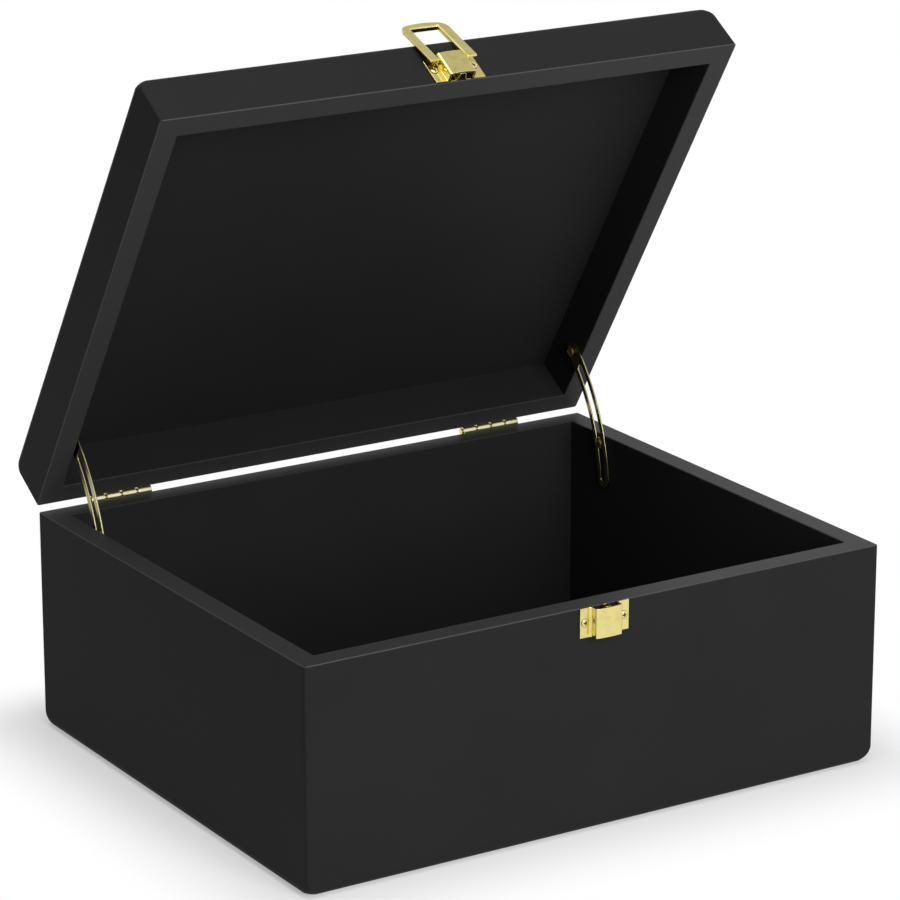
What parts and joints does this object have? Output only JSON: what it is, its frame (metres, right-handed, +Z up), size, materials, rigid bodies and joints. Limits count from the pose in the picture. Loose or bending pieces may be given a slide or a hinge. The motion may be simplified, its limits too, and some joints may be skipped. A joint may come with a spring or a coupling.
{
  "type": "photo storage box",
  "caption": "Hinged wooden keepsake box with brass butt hinges, curved slotted lid stays and a hooded latch with a flip-over loop, for photographs, cards and papers.",
  "frame": {"origin": "middle of the base's flat underside", "axes": "+X to the right seen from the front, +Y to the back where the hinges are, +Z up"},
  "size_m": [0.33, 0.2998, 0.3681],
  "materials": {
    "painted_wood": "satin black paint",
    "polished_brass": "polished",
    "brass_fasteners": "polished"
  },
  "bodies": {
    "base": {"base_front_panel": "painted_wood", "base_back_panel": "painted_wood", "base_left_panel": "painted_wood", "base_right_panel": "painted_wood", "base_bottom_panel": "painted_wood", "left_hinge_base_leaf": "polished_brass", "right_hinge_base_leaf": "polished_brass", "catch_plate": "polished_brass", "catch_spring": "polished_brass", "left_hinge_pin": "brass_fasteners", "right_hinge_pin": "brass_fasteners", "hinge_base_screws": "brass_fasteners", "catch_screws": "brass_fasteners", "stay_guide_screws": "brass_fasteners", "stay_guide_washers": "brass_fasteners"},
    "lid": {"lid_front_rail": "painted_wood", "lid_back_rail": "painted_wood", "lid_left_rail": "painted_wood", "lid_right_rail": "painted_wood", "lid_top_panel": "painted_wood", "left_hinge_lid_leaf": "polished_brass", "right_hinge_lid_leaf": "polished_brass", "latch_plate": "polished_brass", "latch_inner_tab": "polished_brass", "hinge_lid_screws": "brass_fasteners", "latch_screws": "brass_fasteners", "latch_pivot_pin": "brass_fasteners", "stay_pivot_screws": "brass_fasteners", "stay_pivot_washers": "brass_fasteners"},
    "left_stay": {"left_stay": "polished_brass"},
    "right_stay": {"right_stay": "polished_brass"},
    "latch_loop": {"latch_loop": "polished_brass"}
  },
  "joints": [
    {"name": "lid_hinge", "type": "hinge", "parent": "base", "child": "lid", "pos_m": [0, 0.13705, 0.1158], "axis": [-1, 0, 0], "range_deg": [-58, 34]},
    {"name": "left_stay_pivot", "type": "hinge", "parent": "lid", "child": "left_stay", "pos_m": [-0.1518, 0.12003, 0.15587], "axis": [-1, 0, 0], "range_deg": [-12.5, 21]},
    {"name": "right_stay_pivot", "type": "hinge", "parent": "lid", "child": "right_stay", "pos_m": [0.1518, 0.12003, 0.15587], "axis": [-1, 0, 0], "range_deg": [-12.5, 21]},
    {"name": "latch_loop_pivot", "type": "hinge", "parent": "lid", "child": "latch_loop", "pos_m": [0, 0.00156, 0.35565], "axis": [1, 0, 0], "range_deg": [0, 191.5]}
  ],
  "couplings": [
    {"joint": "left_stay_pivot", "follows": "lid_hinge", "ratio": -0.35},
    {"joint": "right_stay_pivot", "follows": "lid_hinge", "ratio": -0.35}
  ]
}
